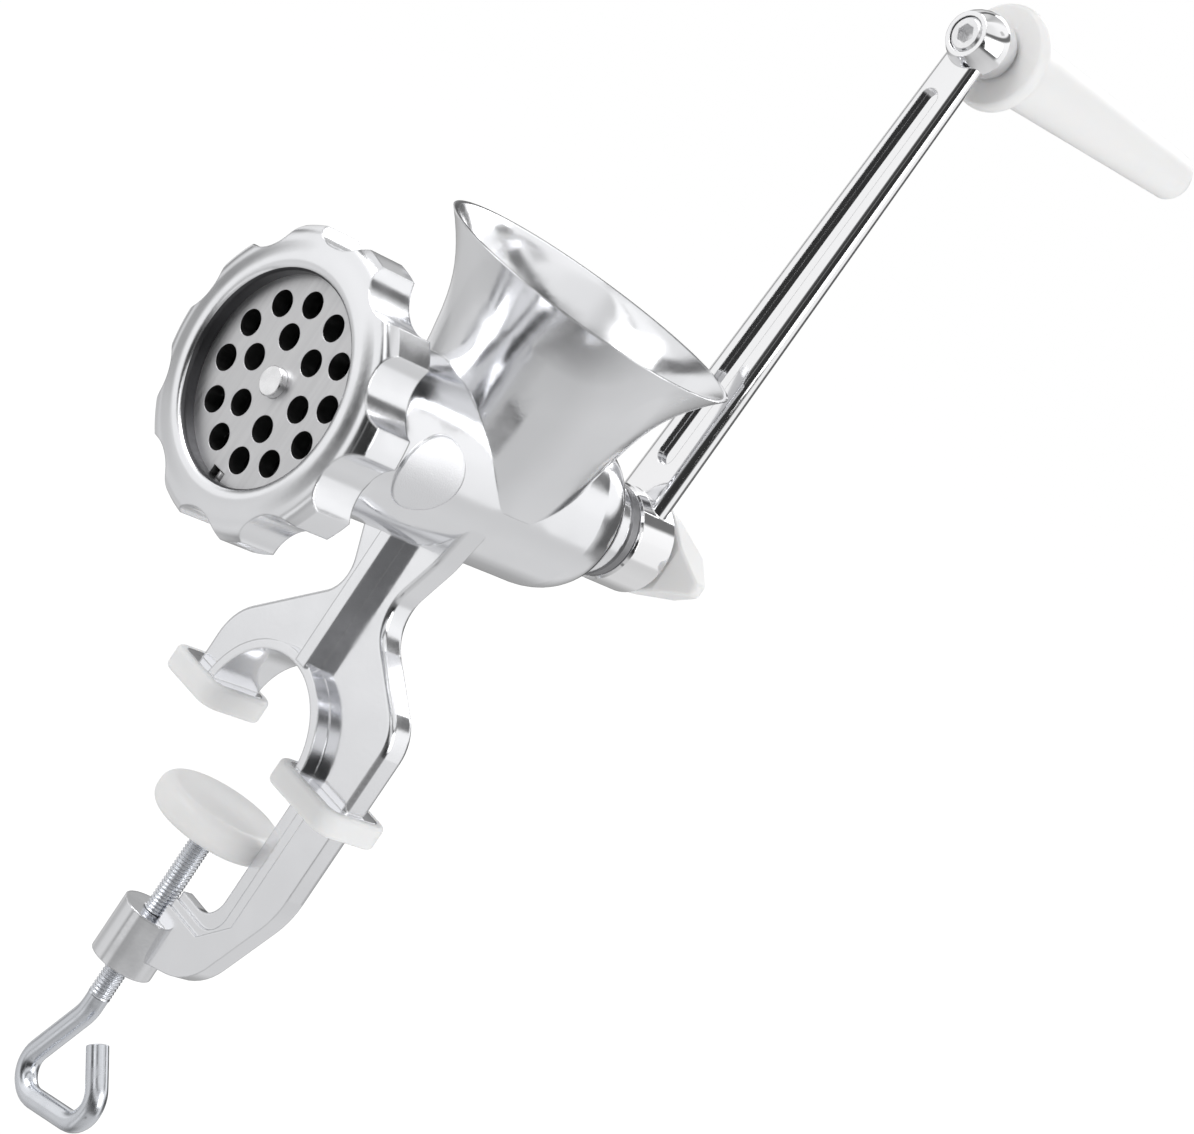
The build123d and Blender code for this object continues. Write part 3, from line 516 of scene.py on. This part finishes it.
# %% [markdown]
# ## The crank arm
#
# The arm is a forging: a flat bar, wide at the hub and slimmer at the grip, with
# well rounded long edges and a groove down its front and back. The bar is lofted:
# one closed outline is drawn at each height, and the outlines are joined by faces.
# At the groove's round ends the outlines follow a circle. The hub and the end boss
# are turned shapes, so each is a short profile that is spun about its axis.

# %% Forged crank arm
crank_reach = mm(156)
bar_width = mm(16.8), mm(12.1)       # at the hub and at the grip
bar_front = mm(62.4), mm(71.2)
bar_thickness = mm(6.4), mm(4.6)
bar_rounding = mm(2.6), mm(2.0)
groove_half = mm(2.95), mm(2.7)
groove_ends = mm(25), mm(137.5)
groove_depth = mm(1.9)
groove_offset = mm(-0.7)
corner_steps = 6
sharp_angle = radians(32)


def between(pair, height):
    """The value of a size at a height over the hub, from its sizes at both ends."""
    return pair[0] + (pair[1] - pair[0]) * height / crank_reach


def bar_outline(height, half, depth):
    """One closed outline of the bar, with a groove of this half width and depth."""
    side, front = between(bar_width, height) / 2, between(bar_front, height)
    back, round_off = front + between(bar_thickness, height), between(bar_rounding, height)
    left, right = groove_offset - half, groove_offset + half
    grooves = {
        0: [(left, front), (left, front + depth), (right, front + depth), (right, front)],
        2: [(right, back), (right, back - depth), (left, back - depth), (left, back)],
    }
    middles = [(-side + round_off, front + round_off), (side - round_off, front + round_off),
               (side - round_off, back - round_off), (-side + round_off, back - round_off)]
    outline = []
    for corner, (x, y) in enumerate(middles):
        for step in range(corner_steps + 1):
            angle = pi + (corner + step / corner_steps) * pi / 2
            outline.append((x + round_off * cos(angle), y + round_off * sin(angle)))
        outline += grooves.get(corner, [])
    return [Vector((x, y, barrel_height + height)) for x, y in outline]


def spin_profile(mesh, profile, axis_height, steps=64):
    """Turns a profile of (y, radius) points about an axis along Y."""
    rings = []
    for y, radius in profile:
        angles = [2 * pi * step / steps for step in range(steps if radius else 1)]
        points = [(radius * cos(a), y, axis_height + radius * sin(a)) for a in angles]
        rings.append([mesh.verts.new(point) for point in points])
    for above, below in zip(rings, rings[1:]):
        for step in range(steps):
            around = ((above, 0), (below, 0), (below, 1), (above, 1))
            corners = [ring[(step + k) % len(ring)] for ring, k in around]
            mesh.faces.new(dict.fromkeys(corners))


arm = bmesh.new()
slit = mm(0.05)
quarter = [pi / 2 * step / 6 for step in range(7)]
lower, upper = (between(groove_half, end) for end in groove_ends)
bar_start, bar_end = mm(6), crank_reach - mm(5)
outlines = [bar_outline(bar_start, slit, 0), bar_outline(groove_ends[0] - lower, slit, 0)]
for angle in quarter:
    height, half = groove_ends[0] - lower * cos(angle), max(slit, lower * sin(angle))
    outlines.append(bar_outline(height, half, groove_depth))
for angle in quarter:
    height, half = groove_ends[1] + upper * sin(angle), max(slit, upper * cos(angle))
    outlines.append(bar_outline(height, half, groove_depth))
outlines += [bar_outline(groove_ends[1] + upper, slit, 0), bar_outline(bar_end, slit, 0)]
loops = [[arm.verts.new(point) for point in outline] for outline in outlines]
for first, second in zip(loops, loops[1:]):
    for index in range(len(first)):
        following = (index + 1) % len(first)
        arm.faces.new((first[index], second[index], second[following], first[following]))
arm.faces.new(loops[0])
arm.faces.new(loops[-1])

hub_front, hub_back, hub_radius, hub_break = mm(58.4), mm(72.4), mm(13.5), mm(0.6)
spin_profile(arm, [
    (hub_front, 0), (hub_front, hub_radius - hub_break), (hub_front + hub_break, hub_radius),
    (hub_back - hub_break, hub_radius), (hub_back, hub_radius - hub_break), (hub_back, 0),
], barrel_height)
boss_front, boss_back, boss_belly = mm(67.4), mm(80.4), mm(8.6)
boss_face, boss_foot, head_recess, head_hole = mm(6.2), mm(7.2), mm(3.4), mm(4.9)
boss_profile = [(boss_front + head_recess, 0), (boss_front + head_recess, head_hole),
                (boss_front, head_hole)]
for step in range(9):
    share = step / 8
    chord = boss_face + (boss_foot - boss_face) * share
    bulge = (boss_belly - (boss_face + boss_foot) / 2) * (1 - (2 * share - 1) ** 2)
    boss_profile.append((boss_front + (boss_back - boss_front) * share, chord + bulge))
spin_profile(arm, boss_profile + [(boss_back, 0)], barrel_height + crank_reach)
forged_arm = object_from(arm, "crank_arm_forging", chrome)
forged_arm.data.set_sharp_from_angle(angle=sharp_angle)
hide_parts("crank_arm")
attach(forged_arm, "crank")
print("crank arm:", len(forged_arm.data.polygons), "faces")

# %% [markdown]
# The feed screw ends in a turned pin that shows in the middle of the plate. Its end
# is flat with a fine broken edge. Behind the knife's square it is plain rod.

# %% Turned nose stud
pin_front, pin_radius, pin_break = mm(-65.5), mm(3.8), mm(0.25)
square_front, square_back, square_half = mm(-58.3), mm(-52.5), mm(4.5)
shank_radius, shank_back = mm(4), mm(-36.5)
stud = bmesh.new()
spin_profile(stud, [
    (pin_front, 0), (pin_front, pin_radius - pin_break), (pin_front + pin_break, pin_radius),
    (square_front, pin_radius), (square_front, 0),
], barrel_height)
spin_profile(stud, [
    (square_back, 0), (square_back, shank_radius), (shank_back, shank_radius), (shank_back, 0),
], barrel_height)
square = bmesh.ops.create_cube(stud, size=1)["verts"]
across_flats = 2 * square_half
bmesh.ops.scale(stud, verts=square, vec=(across_flats, square_back - square_front, across_flats))
bmesh.ops.translate(stud, verts=square, vec=(0, (square_front + square_back) / 2, barrel_height))
turned_stud = object_from(stud, "nose_stud_turned", bright_steel)
turned_stud.data.set_sharp_from_angle(angle=sharp_angle)
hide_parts("nose_stud")
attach(turned_stud, "crank")
print("nose stud:", len(turned_stud.data.polygons), "faces")

# %% [markdown]
# ## The studio
#
# A white floor runs out to a white background. The floor is a matt surface mixed
# with plain white for the camera, so it stays white and still takes a soft shadow.
# Polished metal is only as good as what it mirrors: the world is white to the
# camera, and to reflections it is a white room with a dark band at eye level, as
# black cards are stood around bright metal to draw its edges.

# %% Floor
floor_height = min(corner[2] for corner in cad_box) - mm(1)
floor_half = 4.0


def floor_finish():
    """White paper that keeps a soft shadow."""
    material = bpy.data.materials.new("White paper floor")
    material.use_nodes = True
    tree = material.node_tree
    tree.nodes.clear()
    out = node(tree, "ShaderNodeOutputMaterial")
    matt = node(tree, "ShaderNodeBsdfDiffuse", Color=(0.9, 0.9, 0.9, 1))
    white = node(tree, "ShaderNodeEmission", Color=(1, 1, 1, 1), Strength=1.12)
    rays = node(tree, "ShaderNodeLightPath")
    camera_ray, glass_ray = rays.outputs["Is Camera Ray"], rays.outputs["Is Transmission Ray"]
    seen = maths(tree, "MAXIMUM", camera_ray, glass_ray)
    mix = node(tree, "ShaderNodeMixShader")
    tree.links.new(maths(tree, "MULTIPLY", seen, 0.82), mix.inputs[0])
    tree.links.new(matt.outputs[0], mix.inputs[1])
    tree.links.new(white.outputs[0], mix.inputs[2])
    tree.links.new(mix.outputs[0], out.inputs["Surface"])
    return material


floor_mesh = bmesh.new()
corners = [(-1, -1), (1, -1), (1, 1), (-1, 1)]
floor_mesh.faces.new([
    floor_mesh.verts.new((x * floor_half, y * floor_half, floor_height)) for x, y in corners
])
floor = object_from(floor_mesh, "floor", floor_finish(), smooth=False)
floor.visible_glossy = False
print("floor at", round(floor_height, 4))

# %% World
def ramp(tree, value, stops, blend="LINEAR"):
    """Grey levels along a 0 to 1 value, from a list of (place, level) pairs."""
    made = node(tree, "ShaderNodeValToRGB")
    made.color_ramp.interpolation = blend
    elements = made.color_ramp.elements
    while len(elements) < len(stops):
        elements.new(0.5)
    for element, (where, level) in zip(elements, stops):
        element.position = where
        element.color = (level, level, level, 1)
    tree.links.new(value, made.inputs["Fac"])
    return made.outputs["Color"]


world = bpy.data.worlds.new("White studio")
bpy.context.scene.world = world
world.use_nodes = True
sky = world.node_tree
sky.nodes.clear()
sky_out = node(sky, "ShaderNodeOutputWorld")
parts = node(sky, "ShaderNodeSeparateXYZ")
sky.links.new(node(sky, "ShaderNodeTexCoord").outputs["Generated"], parts.inputs[0])
way_x, way_y, way_z = parts.outputs

# How bright the room is from the floor (0) up to the ceiling (1)
height_share = maths(sky, "MULTIPLY_ADD", way_z, 0.5)
height_share.node.inputs[2].default_value = 0.5
up_and_down = ramp(sky, height_share, [
    (0.00, 0.30), (0.03, 0.50), (0.07, 0.64), (0.20, 0.70), (0.33, 0.66), (0.36, 0.70),
    (0.395, 0.95), (0.60, 1.00), (0.785, 1.05), (0.805, 0.18), (0.855, 0.16), (0.875, 1.00),
    (1.00, 1.00),
])
# Cards around the room, by compass bearing: 0 looks to -X, a quarter to -Y, a half to +X
bearing_share = maths(sky, "MULTIPLY_ADD", maths(sky, "ARCTAN2", way_y, way_x), 1 / (2 * pi))
bearing_share.node.inputs[2].default_value = 0.5
low_cards = ramp(sky, bearing_share, [
    (0.00, 0.85), (0.05, 0.88), (0.09, 1.05), (0.16, 1.10), (0.18, 0.95), (0.195, 0.55),
    (0.215, 1.20), (0.265, 1.20), (0.285, 0.66), (0.32, 0.70), (0.38, 0.86), (0.50, 0.88),
    (0.60, 1.00), (0.76, 1.05), (0.82, 0.62), (0.88, 0.50), (0.94, 0.90),
])
# At eye level the cards are black: they draw the edges of bright metal
eye_level_cards = ramp(sky, bearing_share, [
    (0.00, 0.30), (0.05, 0.35), (0.09, 0.98), (0.17, 1.00), (0.20, 0.10), (0.29, 0.03),
    (0.31, 0.25), (0.33, 0.04), (0.53, 0.03), (0.57, 0.10), (0.60, 0.98), (0.655, 0.98),
    (0.675, 0.12), (0.88, 0.12), (0.93, 0.80),
])
eye_level = ramp(sky, height_share, [
    (0.33, 0.0), (0.38, 0.78), (0.45, 1.0), (0.62, 1.0), (0.66, 0.0),
])
all_cards = blend_colours(sky, eye_level, low_cards, eye_level_cards)
cards = node(sky, "ShaderNodeMix", data_type="RGBA", blend_type="MULTIPLY")
cards.inputs["Factor"].default_value = 1.0
sky.links.new(up_and_down, cards.inputs[6])
sky.links.new(all_cards, cards.inputs[7])


def hang_card(tree, walls, bearings, heights, level, soft=0.012):
    """Hangs one grey card in the room, over a range of bearings and of heights."""
    cover = 1.0
    for value, (low, high) in ((bearing_share, bearings), (height_share, heights)):
        rising = remap(tree, value, 0, 1, low, low + soft)
        falling = remap(tree, value, 0, 1, high, high - soft)
        cover = maths(tree, "MULTIPLY", maths(tree, "MULTIPLY", rising, falling), cover)
    return blend_colours(tree, cover, walls, (level, level, level))


# A small dark card for the hopper's flank, a grey one for the inside of its rim
walls = hang_card(sky, cards.outputs[2], (0.335, 0.42), (0.215, 0.265), 0.20)
walls = hang_card(sky, walls, (0.59, 0.655), (0.885, 0.945), 0.60)
room = node(sky, "ShaderNodeBackground", Strength=1.0)
sky.links.new(walls, room.inputs["Color"])
plain = node(sky, "ShaderNodeBackground", Color=(1, 1, 1, 1), Strength=0.5)
backdrop = node(sky, "ShaderNodeBackground", Color=(1, 1, 1, 1), Strength=1.0)
sky_rays = node(sky, "ShaderNodeLightPath")
seen_by_metal = node(sky, "ShaderNodeMixShader")
sky.links.new(sky_rays.outputs["Is Glossy Ray"], seen_by_metal.inputs[0])
sky.links.new(plain.outputs[0], seen_by_metal.inputs[1])
sky.links.new(room.outputs[0], seen_by_metal.inputs[2])
seen_by_camera = node(sky, "ShaderNodeMixShader")
camera_ray, glass_ray = sky_rays.outputs["Is Camera Ray"], sky_rays.outputs["Is Transmission Ray"]
direct = maths(sky, "MAXIMUM", camera_ray, glass_ray)
sky.links.new(direct, seen_by_camera.inputs[0])
sky.links.new(seen_by_metal.outputs[0], seen_by_camera.inputs[1])
sky.links.new(backdrop.outputs[0], seen_by_camera.inputs[2])
sky.links.new(seen_by_camera.outputs[0], sky_out.inputs["Surface"])
levels = len(eye_level_cards.node.color_ramp.elements)
print("world with", levels, "levels around the room at eye level")

# %% Lamps
def softbox(name, place, aim, size, power):
    """A square area lamp that looks at a point."""
    data = bpy.data.lights.new(name, "AREA")
    data.shape = "SQUARE"
    data.size = size
    data.energy = power
    lamp = bpy.data.objects.new(name, data)
    bpy.context.scene.collection.objects.link(lamp)
    lamp.location = place
    lamp.rotation_euler = (Vector(aim) - Vector(place)).to_track_quat("-Z", "Y").to_euler()
    return lamp


middle = mm(0, 0, 80)
softbox("Key softbox", (-0.5, -0.9, 1.2), middle, 0.9, 9)
softbox("Fill softbox", (1.2, 0.3, 0.5), middle, 0.9, 6)
softbox("Back softbox", (-0.4, 1.1, 0.9), middle, 0.8, 4)
print("3 softboxes")

# %% [markdown]
# ## Camera
#
# The grinder is shown tilted, as if its clamp were held in one hand, so the camera
# is rolled. Plain numbers say where it stands: the point it aims at, how far
# away it is, its bearing, its height angle and its roll.

# %% Camera
aim = mm(58.5, 0, 93.2)
distance = mm(826)
bearing, height_angle, roll = radians(-48.15), radians(9.85), radians(34.17)
focal_length = 106.0

level_part = cos(height_angle)
away = Vector((level_part * cos(bearing), level_part * sin(bearing), sin(height_angle)))
camera_data = bpy.data.cameras.new("Camera")
camera_data.lens = focal_length
camera_data.sensor_width = 36
camera_data.clip_start, camera_data.clip_end = 0.05, 20
camera = bpy.data.objects.new("Camera", camera_data)
bpy.context.scene.collection.objects.link(camera)
camera.location = aim + away * distance
camera.rotation_mode = "QUATERNION"
camera.rotation_quaternion = (-away).to_track_quat("-Z", "Y") @ Quaternion((0, 0, 1), roll)
bpy.context.scene.camera = camera
bpy.context.scene.view_settings.view_transform = "Standard"
print("camera", [round(value, 3) for value in camera.location])
